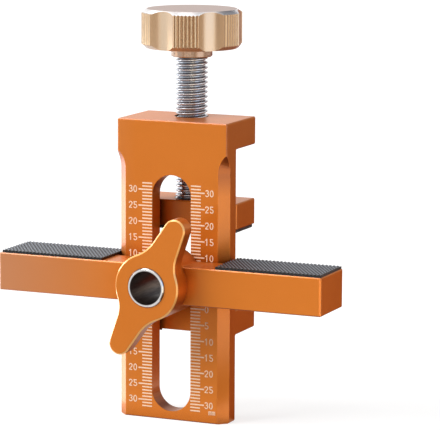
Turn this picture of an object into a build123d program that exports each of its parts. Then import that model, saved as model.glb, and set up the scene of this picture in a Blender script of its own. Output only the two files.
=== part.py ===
from build123d import *

import math
import os

# A clamping jig for hanging cabinet doors, in millimetres, +Z up, with -Y towards the user.
# The origin is on the clamp screw's axis, level with the fixed jaw's clamping face.

# Clamp body: plate, head and fixed jaw in one piece
plate_width = 36.7
plate_thickness = 7.45
screw_setback = 15.0        # plate's front face to the screw's axis
plate_drop = 35.65          # clamping face to the plate's lower end
jaw_throat = 48.95          # clamping face to the head's underside
head_height = 8.6
head_overhang = 7.5         # screw's axis to the head's back face
fixed_jaw_height = 7.7
fixed_jaw_overhang = 7.6
inner_corner_radius = 0.5
edge_break = 0.3
corner_chamfer = 2.85       # along both front edges of the plate
runout_cutter_radius = 7.5  # cone that ends the corner chamfers under the head
runout_below_head = 6.85
slot_below_head = 8.05
slot_end_wall = 2.75

# Drill guide sleeve, which runs in the slot
drill_bore = 10.14
sleeve_wall = 0.93
sleeve_chamfer = 0.3
sleeve_stand = 0.5          # past the wing nut's face
slot_side_gap = 0.5         # sleeve to slot
slot_end_gap = 0.2          # sleeve to the slot's ends, at the ends of its travel

# The sleeve's flange, in a recess behind the slot
flange_grip = 2.0           # past the slot on each side
flange_rise = 0.3           # past the sleeve, above and below
flange_thickness = 1.3
flange_corner = 2.5
flange_side_gap = 0.15
flange_back_gap = 0.1
flange_end_gap = 0.5

# Printed scale beside the slot
tick_pitch = 1.0
tick_thickness = 0.42
tick_length = 3.3
long_tick_length = 4.6
ticks_per_figure = 5
scale_zero_gap = 6.0        # between the zero strokes of the two halves
print_thickness = 0.05
figure_height = 2.15
figure_width = 1.27
figure_stroke = 0.3
figure_between = 0.28       # figure to figure
figure_gaps = (0.5, 0.15)   # long stroke to figures, left and right
unit_scale = 0.55
unit_drop = 2.3             # below the last figure
unit_out = 2.65             # past the long strokes, to the unit's middle

# Moving jaw and the rubber faces of both jaws
jaw_opening = 22.95         # at rest, face to face
moving_jaw_height = 8.1
moving_jaw_overhang = 7.2
jaw_running_gap = 0.3       # to the plate's back face
jaw_pad_thickness = 1.0
jaw_pad_inset = 0.6

# Clamp screw and what holds its end in the moving jaw
screw_diameter = 9.9
screw_pitch = 1.5
thread_depth_share = 0.6134  # of the pitch, in a metric thread
thread_mouth_chamfer = 0.3
screw_exposed = 18.5        # head to knob, at rest
running_clearance = 0.05    # radial, at every turning or sliding fit
spigot_shoulder = 1.45      # screw's radius less the spigot's
counterbore_depth = 3.2
washer_thickness = 1.0
washer_overlap = 2.5        # washer's radius less the spigot's
washer_gap = 0.5            # washer to counterbore
ring_thickness = 0.8
ring_width = 2.0
ring_mouth_share = 0.8      # width of the ring's opening, to its inner diameter
groove_depth = 0.6
spigot_overrun = 0.6        # past the retaining ring
seat_gap = 0.05

# Knob
knob_radius = 15.7
knob_height = 12.0
knob_top_bevel = (1.75, 1.15)       # inwards, down
knob_lower_bevel = (1.4, 1.35)      # inwards, up
knob_hub_wall = 1.45
knob_hub_height = 2.75
knob_bore_depth = 10.0
knob_lobes = 6
knob_turn = -13.1                   # direction of the first lobe, in degrees
scallop_angle = 31.0                # taken from each pitch between lobes
scallop_depth = 1.55
grooves_per_lobe = 7
groove_pitch = 4.3                  # degrees
groove_radius = 0.4
groove_centre_out = 0.08

# Cross bar and its rest pads
bar_length = 107.3
bar_height = 11.75
bar_front = 11.2            # in front of the plate
bar_wrap = 6.8              # arms' reach past the plate's front face
bar_level = 9.0             # sleeve's axis above the clamping face, at rest
bar_hub_wall = 4.35
bar_hub_fillet = 1.0
notch_gap = 0.1
rest_pad_thickness = 0.9
rest_pad_side_gap = 0.3
rest_pad_left_gaps = (1.05, 0.15)   # to the bar's end, to the plate's side
rest_pad_right_gaps = (0.3, 1.05)

# Wing nut
nut_pitch = 1.0
nut_turn = 120.0            # degrees from locked to free
wing_hub_wall = 4.4
wing_hub_thickness = 7.2
wing_blade_thickness = 5.4
wing_angle = 63.0           # of the first blade, above +X
wing_tip_radius = 3.45
wing_tip_reach = 20.1
wing_taper = 8.25           # half angle between a blade's sides
wing_lead_fillet = 12.0
wing_trail_fillet = 9.0
wing_front_chamfer = 0.45

# How far a cutting shape runs past what it cuts, and how close a match of places has to be
overcut = 1.0
match = 0.01

# Sizes that follow from these
half_plate = plate_width / 2
plate_front = -screw_setback
plate_back = plate_front + plate_thickness
plate_bottom = -plate_drop
head_top = jaw_throat + head_height
fixed_jaw_top = -jaw_pad_thickness
fixed_jaw_bottom = fixed_jaw_top - fixed_jaw_height

sleeve_radius = drill_bore / 2 + sleeve_wall
slot_width = 2 * (sleeve_radius + slot_side_gap)
slot_high_centre = jaw_throat - slot_below_head - slot_width / 2
slot_low_centre = plate_bottom + slot_end_wall + slot_width / 2
bar_travel_up = slot_high_centre + slot_side_gap - slot_end_gap - bar_level
bar_travel_down = slot_low_centre - slot_side_gap + slot_end_gap - bar_level

nut_travel = nut_pitch * nut_turn / 360
lip_back = plate_back - flange_thickness - nut_travel - flange_back_gap
flange_width = slot_width + 2 * flange_grip
flange_height = 2 * (sleeve_radius + flange_rise)

scale_top = slot_high_centre + slot_width / 2
scale_bottom = slot_low_centre - slot_width / 2
scale_count = int(min(scale_top - scale_zero_gap, -scale_bottom) / tick_pitch)
figure_spacing = figure_width + figure_between
long_tick_end = slot_width / 2 + long_tick_length

jaw_bottom = jaw_opening + jaw_pad_thickness
jaw_top = jaw_bottom + moving_jaw_height
jaw_front = plate_back + jaw_running_gap
jaw_travel_up = jaw_throat - jaw_top
counterbore_roof = jaw_bottom + counterbore_depth
screw_radius = screw_diameter / 2
thread_depth = thread_depth_share * screw_pitch
spigot_radius = screw_radius - spigot_shoulder
washer_radius = spigot_radius + washer_overlap
washer_bottom = counterbore_roof - washer_thickness
ring_top = washer_bottom - seat_gap
ring_bottom = ring_top - ring_thickness
spigot_end = ring_bottom - spigot_overrun
groove_floor_radius = spigot_radius - groove_depth
knob_hub_radius = screw_radius + knob_hub_wall
knob_hub_bottom = head_top + screw_exposed
knob_bottom = knob_hub_bottom + knob_hub_height
knob_top = knob_bottom + knob_height
screw_top = knob_hub_bottom + knob_bore_depth

bar_hub_radius = sleeve_radius + bar_hub_wall
bar_front_face = plate_front - bar_front
bar_back_face = plate_front + bar_wrap
bar_top = bar_level + bar_height / 2
wing_hub_radius = sleeve_radius + wing_hub_wall
wing_front_face = bar_front_face - wing_hub_thickness
sleeve_front = wing_front_face - sleeve_stand


def facing_front(y):
    """A work plane at depth y whose outline is drawn as the user sees it: x to the right, z up."""
    return Plane(origin=(0, y, 0), x_dir=(1, 0, 0), z_dir=(0, -1, 0))


def block(x_range, y_range, z_range):
    """A box between two corners."""
    size = [high - low for low, high in (x_range, y_range, z_range)]
    middle = [(low + high) / 2 for low, high in (x_range, y_range, z_range)]
    return Pos(*middle) * Box(*size)


def upright(radius, z_low, z_high):
    """A cylinder about the clamp screw's axis."""
    return Pos(0, 0, z_low) * extrude(Circle(radius), z_high - z_low)


def along_bar_bore(radius, y_low, y_high):
    """A cylinder about the sleeve's axis, which runs front to back."""
    outline = facing_front(y_high) * Pos(0, bar_level) * Circle(radius)
    return extrude(outline, y_high - y_low)


def stadium(width, low_centre, high_centre):
    """An upright slot outline with round ends."""
    middle = (low_centre + high_centre) / 2
    return Pos(0, middle) * SlotCenterToCenter(high_centre - low_centre, width, rotation=90)


def edges_on(part, axis, place):
    """The edges that lie wholly in the plane at a place along an axis."""
    return part.edges().filter_by_position(axis, place - match, place + match)


def corners_at(outline, places):
    """The outline's corners that lie at any of the given places."""
    found = []
    for corner in outline.vertices():
        if any(math.dist((corner.X, corner.Y), place) < match for place in places):
            found.append(corner)
    return found


def body_profile():
    """The C-shaped side view, drawn with y to the right and z up, outer corners broken."""
    hollow_corners = [
        (plate_back, fixed_jaw_bottom),
        (plate_back, fixed_jaw_top),
        (plate_back, jaw_throat),
    ]
    outer_corners = [
        (plate_front, plate_bottom),
        (plate_back, plate_bottom),
        (fixed_jaw_overhang, fixed_jaw_bottom),
        (fixed_jaw_overhang, fixed_jaw_top),
        (head_overhang, jaw_throat),
        (head_overhang, head_top),
        (plate_front, head_top),
    ]
    under_jaw, over_jaw, under_head = hollow_corners
    path = outer_corners[:2] + [under_jaw] + outer_corners[2:4] + [over_jaw, under_head] + outer_corners[4:]
    outline = make_face(Polyline(*path, close=True))
    outline = fillet(corners_at(outline, hollow_corners), inner_corner_radius)
    return chamfer(corners_at(outline, outer_corners), edge_break)


def corner_cutter(side):
    """What the corner chamfer takes away on one side: a wedge that ends in a cone under the head."""
    runout = jaw_throat - runout_below_head
    edge = half_plate - corner_chamfer
    wedge = Polyline(
        (edge - overcut, plate_front - overcut),
        (half_plate + overcut, plate_front + corner_chamfer + overcut),
        (half_plate + overcut, plate_front - overcut),
        close=True,
    )
    low = plate_bottom - overcut
    cutter = Pos(0, 0, low) * extrude(make_face(wedge), runout - low)
    cone_length = overcut + corner_chamfer + overcut
    wide = runout_cutter_radius + overcut
    cone = Cone(wide, wide - cone_length, cone_length, align=(Align.CENTER, Align.CENTER, Align.MIN))
    place = Pos(edge + runout_cutter_radius, plate_front - overcut, runout)
    cutter += place * Rot(X=-90) * cone
    return cutter if side > 0 else mirror(cutter, about=Plane.YZ)


def flange_recess():
    """The flange's space behind the slot, long enough for the sleeve's whole travel."""
    half_width = flange_width / 2 + flange_side_gap
    half_flange = flange_height / 2 + flange_end_gap
    low = bar_level + bar_travel_down - half_flange
    high = bar_level + bar_travel_up + half_flange
    outline = Pos(0, (low + high) / 2) * Rectangle(2 * half_width, high - low)
    outline = fillet(outline.vertices(), flange_corner - flange_end_gap)
    return extrude(facing_front(plate_back) * outline, plate_back - lip_back)


def sleeve_slot():
    """The slot through the plate, which leaves the fixed jaw behind it whole."""
    outline = facing_front(plate_back + overcut) * stadium(slot_width, slot_low_centre, slot_high_centre)
    slot = extrude(outline, plate_thickness + 2 * overcut)
    return slot - block(
        (-half_plate, half_plate),
        (plate_back, fixed_jaw_overhang),
        (fixed_jaw_bottom, fixed_jaw_top),
    )


def clamp_body():
    body = extrude(Plane.YZ * body_profile(), half_plate, both=True)
    side_edges = edges_on(body, Axis.X, half_plate) + edges_on(body, Axis.X, -half_plate)
    body = chamfer(side_edges, edge_break)
    for side in (1, -1):
        body -= corner_cutter(side)
    body -= sleeve_slot()
    body -= flange_recess()
    thread_radius = screw_radius + running_clearance
    body -= upright(thread_radius, jaw_throat - overcut, head_top + overcut)
    for rim in (jaw_throat, head_top):
        mouth = edges_on(body, Axis.Z, rim).filter_by(GeomType.CIRCLE)
        mouth = mouth.filter_by(lambda edge: abs(edge.radius - thread_radius) < match)
        body = chamfer(mouth, thread_mouth_chamfer)
    return body


def on_plate(outline):
    """A thin printed shape on the plate's front face."""
    return extrude(facing_front(plate_front) * outline, print_thickness)


def scale_levels():
    """Each stroke's number and height, for both halves of the scale."""
    for number in range(scale_count + 1):
        yield number, scale_zero_gap + number * tick_pitch
        yield number, -number * tick_pitch


def scale_ticks():
    ticks = []
    for number, level in scale_levels():
        length = tick_length if number % ticks_per_figure else long_tick_length
        for side in (-1, 1):
            middle = side * (slot_width + length) / 2
            ticks.append(on_plate(Pos(middle, level) * Rectangle(length, tick_thickness)))
    return Compound(children=ticks)


def glyphs():
    """Plain figures drawn with a pen of one width, each about its own middle."""
    pen = figure_stroke
    top = (figure_height - pen) / 2
    side = (figure_width - pen) / 2
    upper_radius = 0.9 * side
    lower_radius = 1.08 * side
    flag_start = 0.55 * top
    back_place = 0.8 * side

    zero = Ellipse(figure_width / 2, figure_height / 2)
    zero -= Ellipse(figure_width / 2 - pen, figure_height / 2 - pen)
    one = Rectangle(pen, figure_height) + trace(Line((-side, flag_start), (0, top)), pen)

    hook = CenterArc((0, top - side), side, start_angle=180, arc_size=-215)
    two = trace(hook, pen) + trace(Line(hook @ 1, (-side, -top)), pen)
    two += trace(Line((-side, -top), (side, -top)), pen)

    upper = CenterArc((0, top - upper_radius), upper_radius, start_angle=160, arc_size=-250)
    lower = CenterArc((0, lower_radius - top), lower_radius, start_angle=90, arc_size=-250)
    three = trace(upper, pen) + trace(lower, pen)

    belly = CenterArc((0, lower_radius - top), lower_radius, start_angle=125, arc_size=-285)
    start = belly @ 0
    five = trace(belly, pen) + trace(Line((start.X, start.Y), (-back_place, top)), pen)
    five += trace(Line((-back_place - pen / 2, top), (side, top)), pen)
    return {"0": zero, "1": one, "2": two, "3": three, "5": five}


def unit_mark():
    """The unit under the last figure: two small letters m."""
    pen = 0.7 * figure_stroke / unit_scale
    width = 1.15 * figure_width
    half_spacing = 0.62 * width + pen / 2
    letter = Pos(0, (figure_height - pen) / 2) * Rectangle(width + pen, pen)
    for place in (-width / 2, 0, width / 2):
        letter += Pos(place, 0) * Rectangle(pen, figure_height)
    return scale(Pos(-half_spacing, 0) * letter + Pos(half_spacing, 0) * letter, unit_scale)


def scale_figures():
    shapes = {name: on_plate(outline) for name, outline in glyphs().items()}
    figures = []
    for number, level in scale_levels():
        if number % ticks_per_figure:
            continue
        text = str(number)
        for side, gap in zip((-1, 1), figure_gaps):
            nearest_first = text if side > 0 else text[::-1]
            for index, name in enumerate(nearest_first):
                place = long_tick_end + gap + figure_width / 2 + index * figure_spacing
                figures.append(Pos(side * place, 0, level) * shapes[name])
    last = scale_count - scale_count % ticks_per_figure
    unit_level = -last * tick_pitch - unit_drop
    unit = Pos(long_tick_end + unit_out, 0, unit_level) * on_plate(unit_mark())
    return Compound(children=figures + unit.solids())


def jaw_pad(y_back, z_low):
    """The rubber face of one jaw, a little inside the jaw's outline."""
    return block(
        (-half_plate + jaw_pad_inset, half_plate - jaw_pad_inset),
        (plate_back + jaw_pad_inset, y_back - jaw_pad_inset),
        (z_low, z_low + jaw_pad_thickness),
    )


def moving_jaw():
    jaw = block((-half_plate, half_plate), (jaw_front, moving_jaw_overhang), (jaw_bottom, jaw_top))
    jaw = chamfer(jaw.edges(), edge_break)
    jaw -= upright(spigot_radius + running_clearance, jaw_bottom - overcut, jaw_top + overcut)
    jaw -= upright(washer_radius + washer_gap, jaw_bottom - overcut, counterbore_roof)
    return jaw


def thrust_washer():
    washer = upright(washer_radius, washer_bottom, counterbore_roof)
    return washer - upright(spigot_radius + running_clearance, washer_bottom - overcut, jaw_top)


def retaining_ring():
    inner = groove_floor_radius + running_clearance
    ring = upright(groove_floor_radius + ring_width, ring_bottom, ring_top)
    ring -= upright(inner, ring_bottom - overcut, ring_top + overcut)
    half_mouth = ring_mouth_share * inner
    mouth = block((-half_mouth, half_mouth), (0, washer_radius), (ring_bottom - overcut, ring_top + overcut))
    return ring - mouth


def clamp_screw():
    screw = upright(screw_radius, jaw_top, screw_top)
    screw = chamfer(edges_on(screw, Axis.Z, jaw_top) + edges_on(screw, Axis.Z, screw_top), thread_depth)
    screw += upright(spigot_radius, spigot_end, jaw_top + overcut)
    groove = upright(screw_radius, ring_bottom - seat_gap, ring_top + seat_gap)
    groove -= upright(groove_floor_radius, ring_bottom - overcut, ring_top + overcut)
    return screw - groove


def lobe_cutters():
    """What the knob's outline loses: smooth scallops, and fine grooves in the lobes between them."""
    half_angle = math.radians(scallop_angle / 2)
    half_chord = knob_radius * math.sin(half_angle)
    floor = knob_radius - scallop_depth
    sagitta = knob_radius * math.cos(half_angle) - floor
    scallop_radius = (half_chord**2 + sagitta**2) / (2 * sagitta)
    lobe_pitch = 360 / knob_lobes
    low = Pos(0, 0, knob_bottom - overcut)
    tall = knob_height + 2 * overcut
    scallop = extrude(Pos(floor + scallop_radius, 0) * Circle(scallop_radius), tall)
    groove = extrude(Pos(knob_radius + groove_centre_out, 0) * Circle(groove_radius), tall)
    cutters = []
    for lobe in range(knob_lobes):
        middle = knob_turn + lobe * lobe_pitch
        cutters.append(low * Rot(Z=middle + lobe_pitch / 2) * scallop)
        for index in range(grooves_per_lobe):
            turn = middle + (index - (grooves_per_lobe - 1) / 2) * groove_pitch
            cutters.append(low * Rot(Z=turn) * groove)
    return cutters


def knob():
    top_in, top_down = knob_top_bevel
    low_in, low_up = knob_lower_bevel
    side_view = Polyline(
        (0, knob_bottom),
        (knob_radius - low_in, knob_bottom),
        (knob_radius, knob_bottom + low_up),
        (knob_radius, knob_top - top_down),
        (knob_radius - top_in, knob_top),
        (0, knob_top),
        close=True,
    )
    body = revolve(Plane.XZ * make_face(side_view), Axis.Z)
    body -= lobe_cutters()
    hub = upright(knob_hub_radius, knob_hub_bottom, knob_bottom + overcut)
    body += chamfer(edges_on(hub, Axis.Z, knob_hub_bottom), edge_break)
    return body - upright(screw_radius + running_clearance, knob_hub_bottom - overcut, screw_top)


def cross_bar():
    arms = Pos(0, bar_level) * Rectangle(bar_length, bar_height)
    outline = arms + Pos(0, bar_level) * Circle(bar_hub_radius)
    root_x = math.sqrt(bar_hub_radius**2 - (bar_height / 2) ** 2)
    roots = [(x, z) for x in (-root_x, root_x) for z in (bar_level - bar_height / 2, bar_top)]
    outline = fillet(corners_at(outline, roots), bar_hub_fillet)
    bar = extrude(facing_front(bar_back_face) * outline, bar_back_face - bar_front_face)
    notch_half = half_plate + notch_gap
    bar -= block(
        (-notch_half, notch_half),
        (plate_front - notch_gap, bar_back_face + overcut),
        (bar_level - 2 * bar_hub_radius, bar_level + 2 * bar_hub_radius),
    )
    ends = edges_on(bar, Axis.X, bar_length / 2) + edges_on(bar, Axis.X, -bar_length / 2)
    bar = chamfer(ends, edge_break)
    bar = chamfer(edges_on(bar, Axis.Y, bar_front_face), edge_break)
    bar = chamfer(edges_on(bar, Axis.Y, bar_back_face), edge_break)
    return bar - along_bar_bore(sleeve_radius + running_clearance, bar_front_face - overcut, bar_back_face)


def rest_pad(side, gaps):
    """The rubber pad on one arm of the bar, between the bar's end and the plate's side."""
    end_gap, plate_gap = gaps
    outer = side * (bar_length / 2 - end_gap)
    inner = side * (half_plate + plate_gap)
    return block(
        (min(outer, inner), max(outer, inner)),
        (bar_front_face + rest_pad_side_gap, bar_back_face - rest_pad_side_gap),
        (bar_top, bar_top + rest_pad_thickness),
    )


def guide_sleeve():
    tube = along_bar_bore(sleeve_radius, sleeve_front, lip_back + flange_thickness)
    tube = chamfer(edges_on(tube, Axis.Y, sleeve_front), sleeve_chamfer)
    plate = fillet(Rectangle(flange_width, flange_height).vertices(), flange_corner)
    flange = facing_front(lip_back + flange_thickness) * Pos(0, bar_level) * plate
    tube += extrude(flange, flange_thickness)
    return tube - along_bar_bore(drill_bore / 2, sleeve_front - overcut, plate_back + overcut)


def wing_outline():
    """The hub and two tapered blades, blended into it with a wider curve on the leading side."""
    taper = math.radians(wing_taper)
    spread = wing_tip_radius / math.cos(taper) + wing_tip_reach * math.tan(taper)
    tip_x = wing_tip_reach + wing_tip_radius * math.sin(taper)
    tip_y = wing_tip_radius * math.cos(taper)
    blade = make_face(Polyline((0, spread), (0, -spread), (tip_x, -tip_y), (tip_x, tip_y), close=True))
    blade += Pos(wing_tip_reach, 0) * Circle(wing_tip_radius)
    outline = Circle(wing_hub_radius)
    for turn in (0, 180):
        outline += Rot(Z=turn) * blade

    def roots(leading):
        on_hub = [v for v in outline.vertices() if abs(math.hypot(v.X, v.Y) - wing_hub_radius) < match]
        return [v for v in on_hub if (v.X * v.Y > 0) == leading and abs(v.X) > abs(v.Y)]

    outline = fillet(roots(leading=True), wing_lead_fillet)
    return fillet(roots(leading=False), wing_trail_fillet)


def wing_nut():
    blade_back = wing_front_face + wing_blade_thickness
    outline = facing_front(blade_back) * Pos(0, bar_level) * Rot(Z=wing_angle) * wing_outline()
    wings = extrude(outline, wing_blade_thickness)
    wings = chamfer(edges_on(wings, Axis.Y, wing_front_face), wing_front_chamfer)
    wings = chamfer(edges_on(wings, Axis.Y, blade_back), edge_break)
    wings += along_bar_bore(wing_hub_radius, wing_front_face + overcut, bar_front_face)
    bore_radius = sleeve_radius + running_clearance
    return wings - along_bar_bore(bore_radius, wing_front_face - overcut, bar_front_face + overcut)


def main():
    os.makedirs("parts", exist_ok=True)
    nodes = {
        "clamp_body": clamp_body(),
        "scale_ticks": scale_ticks(),
        "scale_figures": scale_figures(),
        "fixed_jaw_pad": jaw_pad(fixed_jaw_overhang, fixed_jaw_top),
        "moving_jaw": moving_jaw(),
        "moving_jaw_pad": jaw_pad(moving_jaw_overhang, jaw_opening),
        "thrust_washer": thrust_washer(),
        "retaining_ring": retaining_ring(),
        "clamp_screw": clamp_screw(),
        "knob": knob(),
        "cross_bar": cross_bar(),
        "rest_pad_left": rest_pad(-1, rest_pad_left_gaps),
        "rest_pad_right": rest_pad(1, rest_pad_right_gaps),
        "guide_sleeve": guide_sleeve(),
        "wing_nut": wing_nut(),
    }
    for name, node in nodes.items():
        export_step(node, os.path.join("parts", f"{name}.step"))
    print("bar travel", round(bar_travel_down, 3), round(bar_travel_up, 3))
    print("jaw travel", round(-screw_exposed, 3), round(jaw_travel_up, 3))
    print("sleeve travel", round(nut_travel, 4))
    print("screw, millimetres per radian", screw_pitch / math.tau)
    print("nut, millimetres per radian", nut_pitch / math.tau)


main()
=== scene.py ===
import math

import bmesh
import bpy
from mathutils import Matrix, Vector


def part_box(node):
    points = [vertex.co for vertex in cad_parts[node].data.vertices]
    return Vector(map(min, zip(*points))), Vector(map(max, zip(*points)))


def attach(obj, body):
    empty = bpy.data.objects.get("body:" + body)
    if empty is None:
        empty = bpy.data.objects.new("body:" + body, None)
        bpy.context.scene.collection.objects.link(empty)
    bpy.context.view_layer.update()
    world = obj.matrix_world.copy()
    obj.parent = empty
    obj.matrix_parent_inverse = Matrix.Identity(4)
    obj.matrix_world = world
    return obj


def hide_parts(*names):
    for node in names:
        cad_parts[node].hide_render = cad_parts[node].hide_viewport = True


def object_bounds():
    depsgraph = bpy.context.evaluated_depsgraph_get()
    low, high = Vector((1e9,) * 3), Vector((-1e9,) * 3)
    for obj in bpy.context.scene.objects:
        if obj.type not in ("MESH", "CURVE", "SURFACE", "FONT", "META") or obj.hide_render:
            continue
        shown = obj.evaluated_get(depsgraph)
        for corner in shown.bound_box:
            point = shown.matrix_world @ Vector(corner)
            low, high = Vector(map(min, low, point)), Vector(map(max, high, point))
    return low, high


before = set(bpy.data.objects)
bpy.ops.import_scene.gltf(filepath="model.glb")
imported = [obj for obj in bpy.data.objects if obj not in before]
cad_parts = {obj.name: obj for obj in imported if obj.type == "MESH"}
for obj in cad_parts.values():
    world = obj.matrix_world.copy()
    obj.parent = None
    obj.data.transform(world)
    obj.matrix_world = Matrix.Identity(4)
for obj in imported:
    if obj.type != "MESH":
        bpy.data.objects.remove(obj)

cad_low, cad_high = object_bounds()

MM = 0.001

# The camera, set to the photo's angle
image_width = 440
sensor_width = 36.0
focal_pixels = 2700.0
camera_azimuth = math.radians(23.4)
camera_elevation = math.radians(9.05)
camera_roll = math.radians(0.27)
camera_distance = 820 * MM
camera_target = Vector((16.2 * MM, -15.0 * MM, 29.7 * MM))
clip_start, clip_end = 0.05, 20


def add_camera():
    sin_a, cos_a = math.sin(camera_azimuth), math.cos(camera_azimuth)
    sin_e, cos_e = math.sin(camera_elevation), math.cos(camera_elevation)
    back = Vector((sin_a * cos_e, -cos_a * cos_e, sin_e))
    right = Vector((cos_a, sin_a, 0))
    up = back.cross(right)
    turned_right = math.cos(camera_roll) * right + math.sin(camera_roll) * up
    turned_up = back.cross(turned_right)
    data = bpy.data.cameras.new("camera")
    data.sensor_width = sensor_width
    data.lens = sensor_width * focal_pixels / image_width
    data.clip_start, data.clip_end = clip_start, clip_end
    camera = bpy.data.objects.new("camera", data)
    turn = Matrix((turned_right, turned_up, back)).transposed().to_4x4()
    camera.matrix_world = Matrix.Translation(camera_target + camera_distance * back) @ turn
    bpy.context.scene.collection.objects.link(camera)
    bpy.context.scene.camera = camera


# Shader nodes. A node's inputs are given by name or number, as values or as other nodes' sockets.

def srgb(red, green, blue):
    """A colour as it is written for a screen, 0 to 255, in the linear form that shaders take."""
    def linear(value):
        share = value / 255
        return share / 12.92 if share <= 0.04045 else ((share + 0.055) / 1.055) ** 2.4
    return (linear(red), linear(green), linear(blue), 1.0)


def add_node(tree, kind, inputs=None, **settings):
    node = tree.nodes.new("ShaderNode" + kind)
    for key, value in settings.items():
        setattr(node, key, value)
    for key, value in (inputs or {}).items():
        if isinstance(value, bpy.types.NodeSocket):
            tree.links.new(value, node.inputs[key])
        else:
            node.inputs[key].default_value = value
    return node


def math_node(tree, operation, first, second=0.0, third=0.0):
    values = {0: first, 1: second, 2: third}
    return add_node(tree, "Math", values, operation=operation).outputs[0]


def times(tree, first, second):
    return math_node(tree, "MULTIPLY", first, second)


def plus(tree, first, second):
    return math_node(tree, "ADD", first, second)


def absolute(tree, value):
    return math_node(tree, "ABSOLUTE", value)


def remap(tree, value, low, high, new_low=0.0, new_high=1.0):
    """A number that goes from new_low to new_high as the value goes from low to high."""
    inputs = {0: value, 1: low, 2: high, 3: new_low, 4: new_high}
    return add_node(tree, "MapRange", inputs, clamp=True).outputs[0]


def between(tree, share, first, second):
    """A number that goes from the first to the second as the share goes from 0 to 1."""
    return remap(tree, share, 0.0, 1.0, first, second)


def spread(tree, fog, low, high):
    """Noise, which keeps near its middle, spread over a range."""
    return remap(tree, fog, 0.3, 0.7, low, high)


def mix_colour(tree, share, first, second):
    return add_node(tree, "Mix", {0: share, 6: first, 7: second}, data_type="RGBA").outputs[2]


def object_place(tree):
    return add_node(tree, "TexCoord").outputs["Object"]


def components(tree, vector):
    """The x, y and z of a vector, as three sockets."""
    return add_node(tree, "SeparateXYZ", {0: vector}).outputs[:3]


def face_direction(tree):
    """The x, y and z of the face's own normal, each -1 to 1, before any bump or rounding."""
    return components(tree, add_node(tree, "NewGeometry").outputs["True Normal"])


def distance_from_axis(tree, first, second):
    """Length of two components."""
    square = plus(tree, times(tree, first, first), times(tree, second, second))
    return math_node(tree, "SQRT", square)


def noise(tree, place, size, detail=2.0, rough=0.5, stretch=None):
    """Noise with features of about that size, in metres."""
    if stretch:
        place = add_node(tree, "Mapping", {"Vector": place, "Scale": stretch}).outputs[0]
    inputs = {"Vector": place, "Scale": 1 / size, "Detail": detail, "Roughness": rough}
    return add_node(tree, "TexNoise", inputs).outputs["Fac"]


def empty_material(name):
    material = bpy.data.materials.new(name)
    material.use_nodes = True
    material.node_tree.nodes.clear()
    return material, material.node_tree


def new_material(name, **values):
    """A Principled material, its tree and its shader, whose sockets take the values."""
    material, tree = empty_material(name)
    shader = add_node(tree, "BsdfPrincipled")
    for key, value in values.items():
        shader.inputs[key.replace("_", " ")].default_value = value
    add_node(tree, "OutputMaterial", {"Surface": shader.outputs[0]})
    return material, tree, shader


def feed(tree, shader, **sockets):
    """Link sockets to the shader's inputs of those names."""
    for key, socket in sockets.items():
        tree.links.new(socket, shader.inputs[key.replace("_", " ")])


def add_bump(tree, shader, height, depth, strength):
    inputs = {"Height": height, "Distance": depth, "Strength": strength}
    bump = add_node(tree, "Bump", inputs)
    feed(tree, shader, Normal=bump.outputs[0])
    return bump


# Orange anodised aluminium
orange_metallic = 0.45
orange_blotch, orange_grain, orange_bump = 14 * MM, 0.22 * MM, 0.012 * MM
orange_base = srgb(218, 122, 38), srgb(226, 130, 46)
orange_speck = srgb(196, 102, 24)
# painted sheen: a paler orange towards the bar's left end
orange_left_sheen = srgb(204, 142, 104)     # orange pales towards the left, as in the photo
# painted shade, for recesses and the moving jaw's front
orange_painted_shade = srgb(92, 26, 4)
# painted shade inside the screw hole
orange_hole_shade = srgb(52, 30, 22)
# painted shade, for downward faces and the chamfers' ends
orange_under_shade = srgb(132, 52, 20)
# painted shade at the slot's lower end
orange_slot_shade = srgb(112, 42, 14)
painted_edge_colour = srgb(255, 196, 118)           # painted highlight on the chamfers, pale gold
left_end_fade = (-12 * MM, -52 * MM)      # to the end of the bar's left arm
edge_round = 0.38 * MM                    # rounded look of the edges
shade_reach = 11 * MM                     # how far the painted shade in recesses reaches
screw_hole_fade = (5.35 * MM, 5.35 * MM - 0.1 * MM)
jaw_front_span = (-7.6 * MM, -7.4 * MM)      # painted shade on the moving jaw's front, which runs behind the plate
runout_fade = (35 * MM, 41 * MM)          # painted shade where the plate's corner chamfers end, under the head
slot_side_fade = (6.7 * MM, 6.5 * MM)
slot_end_fade = (-18 * MM, -20 * MM)


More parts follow.
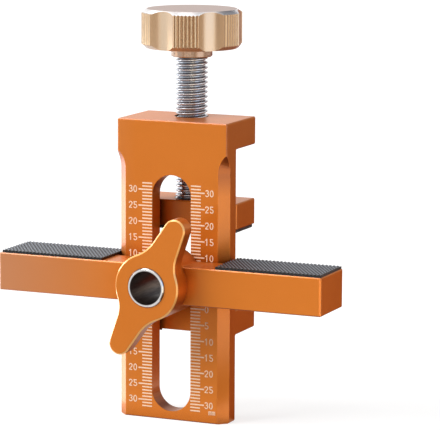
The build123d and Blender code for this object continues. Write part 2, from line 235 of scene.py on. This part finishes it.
def orange_anodised(name, edge_highlight_strength=0.0, slot_shade=0.0):
    """Painted highlights can show on the front chamfers. Painted shade darkens recesses, the screw
    hole, downward faces and the moving jaw's front, and for the slotted plate the slot's lower end
    and the chamfers' ends. A painted sheen pales the orange towards the left.
    """
    material, tree, shader = new_material(
        name, Metallic=orange_metallic, Coat_Roughness=0.18, Coat_IOR=1.5,
        Specular_IOR_Level=0.12, Specular_Tint=(1.0, 0.8, 0.62, 1.0),
    )
    place = object_place(tree)
    x, y, z = components(tree, place)
    normal_y, normal_z = face_direction(tree)[1:]
    to_front = absolute(tree, normal_y)
    on_chamfer = times(tree, remap(tree, to_front, 0.2, 0.4), remap(tree, to_front, 0.95, 0.85))
    facing_down = remap(tree, normal_z, -0.12, -0.45)
    occlusion = add_node(tree, "AmbientOcclusion", {"Distance": shade_reach}, samples=6)
    open_air = occlusion.outputs["AO"]
    blotches = noise(tree, place, orange_blotch, detail=3.0)
    grain = noise(tree, place, orange_grain, detail=3.0, rough=0.65)

    colour = mix_colour(tree, blotches, *orange_base)
    colour = mix_colour(tree, spread(tree, grain, 0.0, 0.22), colour, orange_speck)
    # painted sheen, paling the orange towards the left
    left_sheen_share = remap(tree, x, *left_end_fade, 0.0, 0.75)
    colour = mix_colour(tree, left_sheen_share, colour, orange_left_sheen)
    # painted shade in recesses, from ambient occlusion
    recess_shade = remap(tree, open_air, 0.62, 0.25, 0.0, 0.8)
    colour = mix_colour(tree, recess_shade, colour, orange_painted_shade)
    # painted shade inside the screw hole
    hole_shade = remap(tree, distance_from_axis(tree, x, y), *screw_hole_fade)
    colour = mix_colour(tree, hole_shade, colour, orange_hole_shade)
    # painted shade on the moving jaw's front
    jaw_front_shade = times(tree, remap(tree, y, *jaw_front_span), remap(tree, normal_y, -0.8, -0.9))
    colour = mix_colour(tree, times(tree, jaw_front_shade, 0.45), colour, orange_painted_shade)
    # painted shade on faces that point down
    colour = mix_colour(tree, times(tree, facing_down, 0.75), colour, orange_under_shade)
    if slot_shade:
        # painted shade where the corner chamfers end
        chamfer_end_shade = times(tree, remap(tree, z, *runout_fade), on_chamfer)
        colour = mix_colour(tree, times(tree, chamfer_end_shade, 0.5), colour, orange_under_shade)
        # painted shade on the up-facing wall at the slot's lower end
        slot_end_shade = remap(tree, absolute(tree, x), *slot_side_fade)
        slot_end_shade = times(tree, slot_end_shade, remap(tree, normal_z, 0.0, 0.5))
        slot_end_shade = times(tree, slot_end_shade, remap(tree, z, *slot_end_fade))
        colour = mix_colour(tree, times(tree, slot_end_shade, slot_shade), colour, orange_slot_shade)
    if edge_highlight_strength:
        # painted highlight on the front chamfers
        colour = mix_colour(tree, times(tree, on_chamfer, edge_highlight_strength), colour, painted_edge_colour)

    coat = between(tree, on_chamfer, 0.28, 0.7)
    coat = times(tree, coat, remap(tree, open_air, 0.3, 0.8))
    coat = times(tree, coat, between(tree, facing_down, 1.0, 0.3))
    roughness = spread(tree, grain, 0.3, 0.4)
    feed(tree, shader, Base_Color=colour, Roughness=roughness, Coat_Weight=coat)
    bump = add_bump(tree, shader, grain, orange_bump, 0.5)
    rounded = add_node(tree, "Bevel", {"Radius": edge_round}, samples=4)
    tree.links.new(rounded.outputs[0], bump.inputs["Normal"])
    return material


print_colours = srgb(254, 227, 199), srgb(248, 208, 172)
print_speckle = 0.12 * MM


def white_print():
    material, tree, shader = new_material("white_print", Roughness=0.5)
    speckle = noise(tree, object_place(tree), print_speckle)
    colour = mix_colour(tree, remap(tree, speckle, 0.35, 0.65), *print_colours)
    feed(tree, shader, Base_Color=colour)
    return material


# The gold knob, with its lobes as the model has them
lobe_turn = math.radians(-13.1)
lobe_pitch = math.radians(60)
lobe_half = math.radians(14.6)
lobe_fade = math.radians(0.8)
groove_pitch = math.radians(4.3)
groove_depth = 0.12 * MM
knob_bevel_height = 1.15 * MM
collar_fade = (9.5 * MM, 9 * MM)
gold_grain, gold_rings = 0.3 * MM, 0.16 * MM
gold_scallop = srgb(216, 180, 142), srgb(226, 192, 156)
# painted highlight on the lobes' ridges, and painted shade in their grooves
gold_ridge_highlight = srgb(240, 208, 168), srgb(246, 218, 182)
gold_groove_shade = srgb(160, 116, 74)
gold_collar = srgb(190, 152, 122)
# painted shade on the knob's downward faces
gold_under_shade = srgb(190, 150, 112)
gold_top = srgb(160, 130, 118), srgb(178, 150, 138)
gold_bevel = srgb(222, 212, 208), srgb(250, 250, 252)    # at its upper and its lower edge


def gold_anodised():
    material, tree, shader = new_material("gold_anodised", Coat_Roughness=0.2, Coat_IOR=1.5)
    place = object_place(tree)
    x, y, z = components(tree, place)
    facing_up = face_direction(tree)[2]
    on_top = remap(tree, facing_up, 0.95, 0.98)
    on_bevel = times(tree, remap(tree, facing_up, 0.45, 0.55), remap(tree, facing_up, 0.98, 0.94))
    on_wall = remap(tree, absolute(tree, facing_up), 0.2, 0.1)
    facing_down = remap(tree, facing_up, -0.2, -0.4)
    radius = distance_from_axis(tree, x, y)
    on_collar = times(tree, remap(tree, radius, *collar_fade), on_wall)

    turn = math_node(tree, "SUBTRACT", math_node(tree, "ARCTAN2", y, x), lobe_turn)
    turn = math_node(tree, "WRAP", turn, lobe_pitch / 2, -lobe_pitch / 2)
    in_lobe = remap(tree, absolute(tree, turn), lobe_half, lobe_half - lobe_fade)
    in_lobe = times(tree, in_lobe, on_wall)
    phase = times(tree, turn, 2 * math.pi / groove_pitch)
    ridge = math_node(tree, "MULTIPLY_ADD", math_node(tree, "COSINE", phase), -0.5, 0.5)
    groove_shade_share = times(tree, remap(tree, ridge, 0.36, 0.06), in_lobe)

    grain = noise(tree, place, gold_grain, detail=3.0, rough=0.6)
    rings = noise(tree, add_node(tree, "CombineXYZ", {0: radius}).outputs[0], gold_rings)
    wall = mix_colour(tree, grain, *gold_scallop)
    # painted highlight on the lobes' ridges, and painted shade in their grooves
    wall = mix_colour(tree, in_lobe, wall, mix_colour(tree, grain, *gold_ridge_highlight))
    wall = mix_colour(tree, groove_shade_share, wall, gold_groove_shade)
    wall = mix_colour(tree, on_collar, wall, gold_collar)
    # painted shade on faces that point down
    wall = mix_colour(tree, facing_down, wall, gold_under_shade)
    knob_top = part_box("knob")[1].z
    down_bevel = remap(tree, z, knob_top, knob_top - knob_bevel_height)
    colour = mix_colour(tree, on_bevel, wall, mix_colour(tree, down_bevel, *gold_bevel))
    top = mix_colour(tree, remap(tree, rings, 0.35, 0.65), *gold_top)
    colour = mix_colour(tree, on_top, colour, top)

    metallic = between(tree, facing_down, 0.8, 0.25)
    coat = between(tree, on_top, 0.5, 0.0)
    roughness = plus(tree, between(tree, on_bevel, 0.24, 0.2), between(tree, on_top, 0.0, 0.1))
    feed(tree, shader, Base_Color=colour, Metallic=metallic, Coat_Weight=coat, Roughness=roughness)
    height = times(tree, rings, remap(tree, facing_up, 0.4, 0.6))
    height = times(tree, plus(tree, height, times(tree, grain, 0.4)), 0.08)
    height = plus(tree, height, times(tree, ridge, in_lobe))
    add_bump(tree, shader, height, groove_depth, 1.0)
    return material


# The clamp screw's thread
thread_pitch = 1.5 * MM
thread_depth = 0.92 * MM
thread_crest = 0.2            # flat at the crest, as a share of the pitch
thread_root = 0.16
thread_fade = 0.35 * MM       # full diameter to full depth, at each end
thread_into_knob = 0.8 * MM
thread_sharp = math.radians(75)
screw_radius = 4.95 * MM
spigot_radius = 3.5 * MM
groove_radius = 2.9 * MM      # for the retaining ring
screw_end_break = 0.3 * MM
thread_columns = 72
thread_steps = 10             # points up one pitch

zinc_grain, zinc_bump = 0.5 * MM, 0.004 * MM
zinc_base = srgb(208, 210, 216)
zinc_streak = srgb(150, 154, 162)
zinc_root = srgb(192, 195, 203)
# painted shade under each turn of the thread
zinc_under_shade = srgb(112, 115, 122)


def bright_steel():
    """Zinc plated steel, with painted shade under each turn of the thread."""
    material, tree, shader = new_material("bright_steel")
    place = object_place(tree)
    x, y = components(tree, place)[:2]
    facing_down = remap(tree, face_direction(tree)[2], -0.3, -0.6)
    turned = noise(tree, place, zinc_grain, detail=3.0, stretch=(1, 1, 3))
    colour = mix_colour(tree, spread(tree, turned, 0.0, 0.25), zinc_base, zinc_streak)
    root, flank = screw_radius - thread_depth, screw_radius - 0.6 * thread_depth
    on_flank = remap(tree, distance_from_axis(tree, x, y), root, flank)
    colour = mix_colour(tree, on_flank, zinc_root, colour)
    # painted shade under each turn of the thread
    colour = mix_colour(tree, facing_down, colour, zinc_under_shade)
    metallic = between(tree, facing_down, 1.0, 0.25)
    roughness = spread(tree, turned, 0.18, 0.28)
    feed(tree, shader, Base_Color=colour, Metallic=metallic, Roughness=roughness)
    add_bump(tree, shader, turned, zinc_bump, 0.3)
    return material


# The drill guide sleeve. Radii are about its bore, from inside to outside.
bore_fade = (5.2 * MM, 5.12 * MM)
inner_rim_fade = (5.3 * MM, 5.2 * MM)
outer_rim_fade = (5.7 * MM, 5.85 * MM)
sleeve_grain, bore_line, bore_bump = 0.3 * MM, 0.6 * MM, 0.01 * MM
# painted shade in the bore
sleeve_bore_shade = srgb(58, 52, 50), srgb(96, 88, 84)
sleeve_face = srgb(236, 234, 232), srgb(250, 249, 248)
# painted dark reflection and shade on the chamfers at the rims
sleeve_rim_shade = srgb(150, 140, 136)


def sleeve_steel():
    """Polished steel, with painted shade in its bore."""
    material, tree, shader = new_material("sleeve_steel", Metallic=1.0)
    place = object_place(tree)
    low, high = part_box("guide_sleeve")
    centre = (low + high) / 2
    parts = components(tree, place)
    across = math_node(tree, "SUBTRACT", parts[0], centre.x)
    rise = math_node(tree, "SUBTRACT", parts[2], centre.z)
    radius = distance_from_axis(tree, across, rise)
    in_bore = remap(tree, radius, *bore_fade)
    on_rim = math_node(
        tree, "MAXIMUM", remap(tree, radius, *outer_rim_fade), remap(tree, radius, *inner_rim_fade),
    )
    bore_lines = noise(tree, place, bore_line, detail=3.0, stretch=(1, 0.12, 1))
    # painted shade in the bore
    bore = mix_colour(tree, spread(tree, bore_lines, 0.0, 1.0), *sleeve_bore_shade)
    grain = noise(tree, place, sleeve_grain, detail=3.0)
    # painted dark reflection and shade on the rims
    polished = mix_colour(tree, on_rim, mix_colour(tree, grain, *sleeve_face), sleeve_rim_shade)
    colour = mix_colour(tree, in_bore, polished, bore)
    feed(tree, shader, Base_Color=colour, Roughness=between(tree, in_bore, 0.16, 0.34))
    add_bump(tree, shader, bore_lines, bore_bump, 0.3)
    return material


# Rubber
rubber_bump = 0.03 * MM
jaw_grain, pad_grain = 0.4 * MM, 0.25 * MM
jaw_rubber_colours = srgb(26, 24, 24), srgb(52, 50, 50)


def jaw_rubber():
    material, tree, shader = new_material("jaw_rubber", Specular_IOR_Level=0.4)
    grain = noise(tree, object_place(tree), jaw_grain, detail=4.0, rough=0.6)
    colour = mix_colour(tree, grain, *jaw_rubber_colours)
    feed(tree, shader, Base_Color=colour, Roughness=spread(tree, grain, 0.45, 0.65))
    add_bump(tree, shader, grain, rubber_bump, 0.5)
    return material


# The rest pads, with slanting ribs
rib_pitch = 1.02 * MM
rib_depth = 0.27 * MM
rib_direction = Vector((1.0, -1.5, 0)).normalized()
rib_fullness = 1.25           # over 1, the ribs have flat tops
notch_pitch = 0.8 * rib_pitch
notch_share = 0.1             # of a rib's height
rib_grid = 0.12 * MM
rib_sharp = math.radians(60)
# painted highlight on the ribs, and painted shade in the grooves
rib_highlight_colours = srgb(88, 93, 103), srgb(128, 133, 144)
rib_groove_shade = srgb(10, 10, 13)


def pad_rubber():
    """Dark rubber, with painted highlight on the upward faces of its ribs and painted shade in the
    grooves between them.
    """
    material, tree, shader = new_material("pad_rubber", Specular_IOR_Level=0.5)
    place = object_place(tree)
    height = components(tree, place)[2]
    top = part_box("rest_pad_left")[1].z
    # painted highlight where the ribs stand high and face up
    lit_rib_share = remap(tree, height, top - 0.6 * rib_depth, top - 0.02 * rib_depth)
    lit_rib_share = times(tree, lit_rib_share, remap(tree, face_direction(tree)[2], 0.15, 0.35))
    grain = noise(tree, place, pad_grain, detail=4.0, rough=0.6)
    colour = mix_colour(tree, lit_rib_share, rib_groove_shade, mix_colour(tree, grain, *rib_highlight_colours))
    feed(tree, shader, Base_Color=colour, Roughness=spread(tree, grain, 0.4, 0.6))
    add_bump(tree, shader, grain, rubber_bump, 0.5)
    return material


def set_material(thing, material):
    thing.data.materials.clear()
    thing.data.materials.append(material)


# Meshes
weld_distance = 0.0005 * MM


def new_object(name, data):
    thing = bpy.data.objects.new(name, data)
    bpy.context.scene.collection.objects.link(thing)
    return thing


def mesh_piece(name, vertices, faces, body, material, sharp_angle):
    mesh = bpy.data.meshes.new(name)
    mesh.from_pydata(vertices, [], faces)
    edit = bmesh.new()
    edit.from_mesh(mesh)
    bmesh.ops.remove_doubles(edit, verts=edit.verts, dist=weld_distance)
    bmesh.ops.dissolve_degenerate(edit, edges=edit.edges, dist=weld_distance)
    bmesh.ops.recalc_face_normals(edit, faces=edit.faces)
    edit.to_mesh(mesh)
    edit.free()
    thing = new_object(name, mesh)
    for face in mesh.polygons:
        face.use_smooth = True
    mesh.set_sharp_from_angle(angle=sharp_angle)
    set_material(thing, material)
    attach(thing, body)
    return thing


def thread_share(turns):
    """Depth of the thread at a height given in turns: 0 on the crest, 1 on the root."""
    phase = abs((turns % 1.0) - 0.5) * 2
    return min(max((1 - thread_crest - phase) / (1 - thread_crest - thread_root), 0), 1)


def add_thread(material):
    """The clamp screw: a right-hand thread between a plain spigot and a plain upper end."""
    low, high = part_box("clamp_screw")
    ring_low, ring_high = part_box("retaining_ring")
    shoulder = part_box("moving_jaw")[1].z
    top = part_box("knob")[0].z + thread_into_knob
    rows = (int((top - shoulder) / thread_pitch) + 3) * thread_steps
    vertices, faces = [], []
    for column in range(thread_columns):
        angle = 2 * math.pi * column / thread_columns
        for row in range(rows + 1):
            height = shoulder + (row / thread_steps - 1 + column / thread_columns) * thread_pitch
            height = min(max(height, shoulder), top)
            share = thread_share((height - shoulder) / thread_pitch - column / thread_columns)
            fade = min(height - shoulder, top - height) / thread_fade
            radius = screw_radius - thread_depth * share * min(max(fade, 0), 1)
            vertices.append((radius * math.cos(angle), radius * math.sin(angle), height))
    for column in range(thread_columns):
        following = (column + 1) % thread_columns
        shift = thread_steps if following == 0 else 0
        for row in range(rows):
            a = column * (rows + 1) + row
            b = following * (rows + 1) + row + shift
            if row + 1 + shift <= rows:
                faces.append((a, b, b + 1, a + 1))
    spigot_end = [
        (screw_radius, shoulder), (spigot_radius, shoulder), (spigot_radius, ring_high.z),
        (groove_radius, ring_high.z), (groove_radius, ring_low.z), (spigot_radius, ring_low.z),
        (spigot_radius, low.z + screw_end_break), (spigot_radius - screw_end_break, low.z),
        (0, low.z),
    ]
    knob_end = [
        (screw_radius, top), (screw_radius, high.z - screw_end_break),
        (screw_radius - screw_end_break, high.z), (0, high.z),
    ]
    for profile in (spigot_end, knob_end):
        add_lathe(vertices, faces, profile)
    screw = mesh_piece(
        "threaded_screw", vertices, faces, "clamp_screw", material, thread_sharp,
    )
    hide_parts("clamp_screw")


def add_lathe(vertices, faces, profile):
    """Turn a profile of radii and heights about the screw's axis."""
    start = len(vertices)
    for radius, height in profile:
        for column in range(thread_columns):
            angle = 2 * math.pi * column / thread_columns
            vertices.append((radius * math.cos(angle), radius * math.sin(angle), height))
    for ring in range(len(profile) - 1):
        for column in range(thread_columns):
            following = (column + 1) % thread_columns
            a = start + ring * thread_columns + column
            b = start + ring * thread_columns + following
            faces.append((a, b, b + thread_columns, a + thread_columns))


def rib_height(x, y):
    """Height of the ribbed face, from 0 at the grooves to 1 on the ribs."""
    across = (x * rib_direction.y - y * rib_direction.x) / rib_pitch
    along = (x * rib_direction.x + y * rib_direction.y) / notch_pitch
    wave = 0.5 + 0.5 * math.cos(2 * math.pi * across)
    notch = 0.5 + 0.5 * math.cos(2 * math.pi * along)
    return min(1.0, wave * rib_fullness) * (1 - notch_share + notch_share * notch)


def add_ribbed_pad(node, material):
    """A rest pad: a grid of points for its ribbed face, with walls and a base under it."""
    low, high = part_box(node)
    columns = int((high.x - low.x) / rib_grid)
    rows = int((high.y - low.y) / rib_grid)
    vertices, faces = [], []
    for row in range(rows + 1):
        y = low.y + (high.y - low.y) * row / rows
        for column in range(columns + 1):
            x = low.x + (high.x - low.x) * column / columns
            vertices.append((x, y, high.z - rib_depth * (1 - rib_height(x, y))))
    for row in range(rows):
        for column in range(columns):
            a = row * (columns + 1) + column
            faces.append((a, a + 1, a + columns + 2, a + columns + 1))
    border = list(range(columns + 1))
    border += [row * (columns + 1) + columns for row in range(1, rows + 1)]
    border += [rows * (columns + 1) + column for column in range(columns - 1, -1, -1)]
    border += [row * (columns + 1) for row in range(rows - 1, 0, -1)]
    first = len(vertices)
    for index in border:
        x, y = vertices[index][:2]
        vertices.append((x, y, low.z))
    count = len(border)
    for step in range(count):
        following = (step + 1) % count
        faces.append((border[step], first + step, first + following, border[following]))
    faces.append([first + step for step in range(count)])
    pad = mesh_piece(
        "ribbed_" + node, vertices, faces, "cross_bar", material, rib_sharp,
    )
    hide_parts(node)


# The studio, in metres. Strengths of 1 look white.
world_light = 0.33
floor_half = 4.0
floor_colour = 0.42
floor_glow = 0.75
key_direction, key_light, key_angle = (-0.8, -0.62, 0.5), 3.3, 40
top_direction, top_light, top_angle = (-0.3, -0.2, 1.0), 0.6, 60


def shown_directly(tree):
    """1 for what the camera sees, also mirrored or through glass, and 0 for light that falls."""
    path = add_node(tree, "LightPath")
    seen = math_node(tree, "MAXIMUM", path.outputs["Is Camera Ray"], path.outputs["Is Glossy Ray"])
    return math_node(tree, "MAXIMUM", seen, path.outputs["Is Transmission Ray"])


def set_world():
    world = bpy.data.worlds.new("studio")
    world.use_nodes = True
    tree = world.node_tree
    tree.nodes.clear()
    strength = between(tree, shown_directly(tree), world_light, 1.0)
    background = add_node(tree, "Background", {"Color": (1, 1, 1, 1), "Strength": strength})
    add_node(tree, "OutputWorld", {"Surface": background.outputs[0]})
    bpy.context.scene.world = world


def add_floor():
    mesh = bpy.data.meshes.new("floor")
    corners = flat_board((-floor_half, floor_half), (-floor_half, floor_half), cad_low.z)
    mesh.from_pydata(corners, [], [(0, 1, 2, 3)])
    floor = new_object("floor", mesh)
    material, tree = empty_material("pale_floor")
    matt = add_node(tree, "BsdfDiffuse", {"Color": (floor_colour, floor_colour, floor_colour, 1)})
    glow = times(tree, shown_directly(tree), floor_glow)
    emission = add_node(tree, "Emission", {"Color": (1, 1, 1, 1), "Strength": glow})
    both = add_node(tree, "AddShader", {0: matt.outputs[0], 1: emission.outputs[0]})
    add_node(tree, "OutputMaterial", {"Surface": both.outputs[0]})
    set_material(floor, material)


def add_sun(name, direction, strength, angle):
    """A soft lamp from that direction, which reflections don't show."""
    data = bpy.data.lights.new(name, "SUN")
    data.energy = strength
    data.angle = math.radians(angle)
    lamp = new_object(name, data)
    lamp.location = Vector(direction) * 2
    lamp.rotation_euler = (-lamp.location).to_track_quat("-Z", "Y").to_euler()
    lamp.visible_camera = False
    lamp.visible_glossy = False


def add_card(name, corners, colour, strength):
    """A board, dark or glowing, that only reflections show."""
    mesh = bpy.data.meshes.new(name)
    mesh.from_pydata(corners, [], [(0, 1, 2, 3)])
    card = new_object(name, mesh)
    material, tree = empty_material(name)
    emission = add_node(tree, "Emission", {"Color": (*colour, 1), "Strength": strength})
    add_node(tree, "OutputMaterial", {"Surface": emission.outputs[0]})
    set_material(card, material)
    card.visible_camera = False
    card.visible_diffuse = False
    card.visible_transmission = False
    card.visible_shadow = False


def flat_board(x_range, y_range, level):
    (x0, x1), (y0, y1) = x_range, y_range
    return [(x0, y0, level), (x1, y0, level), (x1, y1, level), (x0, y1, level)]


def lying_board(places, level):
    return [(x, y, level) for x, y in places]


def upright_board(ends, bottom, top):
    """A board that stands over the line between two places."""
    first, second = ends
    return [(*first, bottom), (*second, bottom), (*second, top), (*first, top)]


# Heights that cards share
floor_level = cad_low.z
low_card = floor_level + 0.2 * MM
over_card = floor_level + 0.4 * MM    # over other cards on the floor
overhead = 0.36
knob_line = 0.022       # of the boards in front, the knob reflects what is above this line

# Colours of the cards
white = (1, 1, 1)
cool = (0.88, 0.96, 1.08)
sky = (0.8, 0.92, 1.06)
blue = (0.76, 1.0, 1.4)
warm = (1.0, 0.8, 0.66)
gold = (1.0, 0.88, 0.66)
grey = (0.75, 0.75, 0.75)
cream = (0.95, 0.86, 0.74)
tan = (0.5, 0.4, 0.31)
brown = (0.26, 0.13, 0.06)
umber = (0.14, 0.07, 0.03)
slate = (0.14, 0.145, 0.165)
near_red = (0.4, 0.08, 0.04)
far_red = (0.34, 0.15, 0.15)

# Where the walls of cards stand
right_wall = (0.36, -0.25), (0.5, 0.0)
right_back_wall = (0.40, 0.03), (0.29, 0.29)
front_right, front_middle, front_left = (0.258, -0.369), (0.135, -0.41), (0.01, -0.45)

# Each card's name, corners, colour and strength. They are placed for the photo's angle.
cards = [
    ("left_floor", lying_board(
        [(-0.03, -0.03), (-0.03, 0.02), (-0.30, 0.15), (-0.30, 0.07)], low_card), white, 2.4),
    ("left_strip", upright_board(((-0.15, 0.06), (-0.15, 0.022)), floor_level, 0.052), cool, 2.9),
    ("left_near", [
        (-0.085, -0.006, -0.02), (-0.085, 0.006, -0.02), (-0.085, -0.014, 0.05),
        (-0.085, -0.034, 0.05)], white, 8.0),
    ("left_screw", upright_board(((-0.12, -0.06), (-0.12, 0.1)), 0.05, 0.07), white, 2.2),
    ("left_board", upright_board(((-0.287, -0.41), (-0.498, 0.044)), 0.0, 0.16), sky, 1.15),
    ("overhead", flat_board((-0.09, 0.09), (-0.17, 0.075), overhead), white, 1.9),
    ("overhead_left", flat_board((-0.26, -0.09), (-0.13, -0.03), overhead), white, 8.0),
    ("overhead_back", flat_board((-0.115, 0.0), (0.075, 0.145), overhead), (0.16, 0.17, 0.2), 1),
    ("overhead_far_right", flat_board((-0.03, 0.2), (0.2, 0.6), overhead), (0.15, 0.16, 0.19), 1),
    ("overhead_streak", flat_board((-0.05, 0.03), (0.146, 0.199), overhead), white, 1.7),
    ("overhead_far_left", flat_board((-0.36, -0.116), (0.1, 0.35), overhead), white, 2.2),
    ("back_high", upright_board(((0.4, 1.28), (-0.1, 1.2)), overhead, 0.9), (0.4, 0.42, 0.47), 1),
    ("under_floor", flat_board((-0.12, -0.03), (-0.03, 0.02), low_card), white, 3.0),
    ("under_floor_right", flat_board((0.022, 0.045), (-0.028, -0.012), low_card), gold, 2.0),
    ("front_floor", flat_board((-0.8, 0.02), (-0.9, -0.04), low_card), grey, 1),
    ("right_floor", flat_board((0.08, 0.5), (-0.28, -0.04), low_card), gold, 2.1),
    ("right_dark", flat_board((0.03, 0.1), (-0.075, -0.024), over_card), brown, 1),
    ("right_panel", upright_board(right_wall, 0.03, 0.22), blue, 1.4),
    ("right_panel_middle", upright_board(right_wall, 0.0, 0.03), white, 1.9),
    ("right_panel_low", upright_board(right_wall, floor_level, 0.0), gold, 2.1),
    ("right_mid", upright_board(right_back_wall, 0.02, 0.10), (0.55, 0.43, 0.31), 1),
    ("right_mid_low", upright_board(right_back_wall, 0.003, 0.02), (0.1, 0.1, 0.11), 1),
    ("front_mid", upright_board((front_left, (-0.2, -0.4)), 0.03, 0.12), (0.42, 0.31, 0.21), 1),
    ("right_strip", upright_board(((0.15, 0.045), (0.165, 0.10)), floor_level, -0.002), gold, 6.0),
    ("front_glint", flat_board((0.06, 0.17), (-0.33, -0.15), low_card), gold, 6.0),
    ("dark_front", upright_board((front_right, front_middle), knob_line, 0.2), tan, 1),
    ("lobe_front", upright_board((front_middle, front_left), knob_line, 0.2), cream, 1),
    ("scallop_end", upright_board(((0.33, -0.28), front_right), knob_line, 0.2), umber, 1),
    ("dark_front_low", upright_board((front_right, front_left), floor_level, knob_line), slate, 1),
    ("near_mat", lying_board(
        [(0.0185, -0.008), (0.062, -0.012), (0.54, 0.5), (-0.07, 0.5)], over_card), near_red, 1),
    ("far_mat", lying_board(
        [(0.54, 0.5), (0.75, 1.2), (-0.15, 1.2), (-0.07, 0.5)], low_card), far_red, 1),
    ("neutral_mat", lying_board(
        [(0.7, 0.58), (0.7, 0.76), (-0.1, 0.76), (-0.1, 0.58)], over_card), (0.15, 0.12, 0.12), 1),
    ("dark_board", upright_board(((-0.15, 1.2), (0.68, 1.1)), floor_level, 0.02), far_red, 1),
    ("back_low", upright_board(((-0.15, 1.19), (0.0, 1.19)), 0.02, overhead), warm, 1),
    ("back_low_right", upright_board(((0.0, 1.19), (0.75, 1.1)), 0.02, overhead), warm, 1),
]

anodised = orange_anodised("orange_anodised")
slotted = orange_anodised("orange_slotted", slot_shade=0.75)
# the wing nut's orange, with a painted highlight on its chamfers
highlighted_orange = orange_anodised("orange_painted_highlight", edge_highlight_strength=0.9)
ink = white_print()
champagne = gold_anodised()
zinc = bright_steel()
polished = sleeve_steel()
plain_rubber = jaw_rubber()
ribbed_rubber = pad_rubber()

finishes = {
    "clamp_body": slotted, "moving_jaw": anodised, "cross_bar": anodised, "wing_nut": highlighted_orange,
    "scale_ticks": ink, "scale_figures": ink,
    "knob": champagne,
    "clamp_screw": zinc, "thrust_washer": zinc, "retaining_ring": zinc,
    "guide_sleeve": polished,
    "fixed_jaw_pad": plain_rubber, "moving_jaw_pad": plain_rubber,
    "rest_pad_left": ribbed_rubber, "rest_pad_right": ribbed_rubber,
}
for node, finish in finishes.items():
    set_material(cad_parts[node], finish)

add_thread(zinc)
add_ribbed_pad("rest_pad_left", ribbed_rubber)
add_ribbed_pad("rest_pad_right", ribbed_rubber)

set_world()
add_floor()
add_sun("key", key_direction, key_light, key_angle)
add_sun("top", top_direction, top_light, top_angle)
for card in cards:
    add_card(*card)
add_camera()
bpy.context.scene.view_settings.view_transform = "Standard"
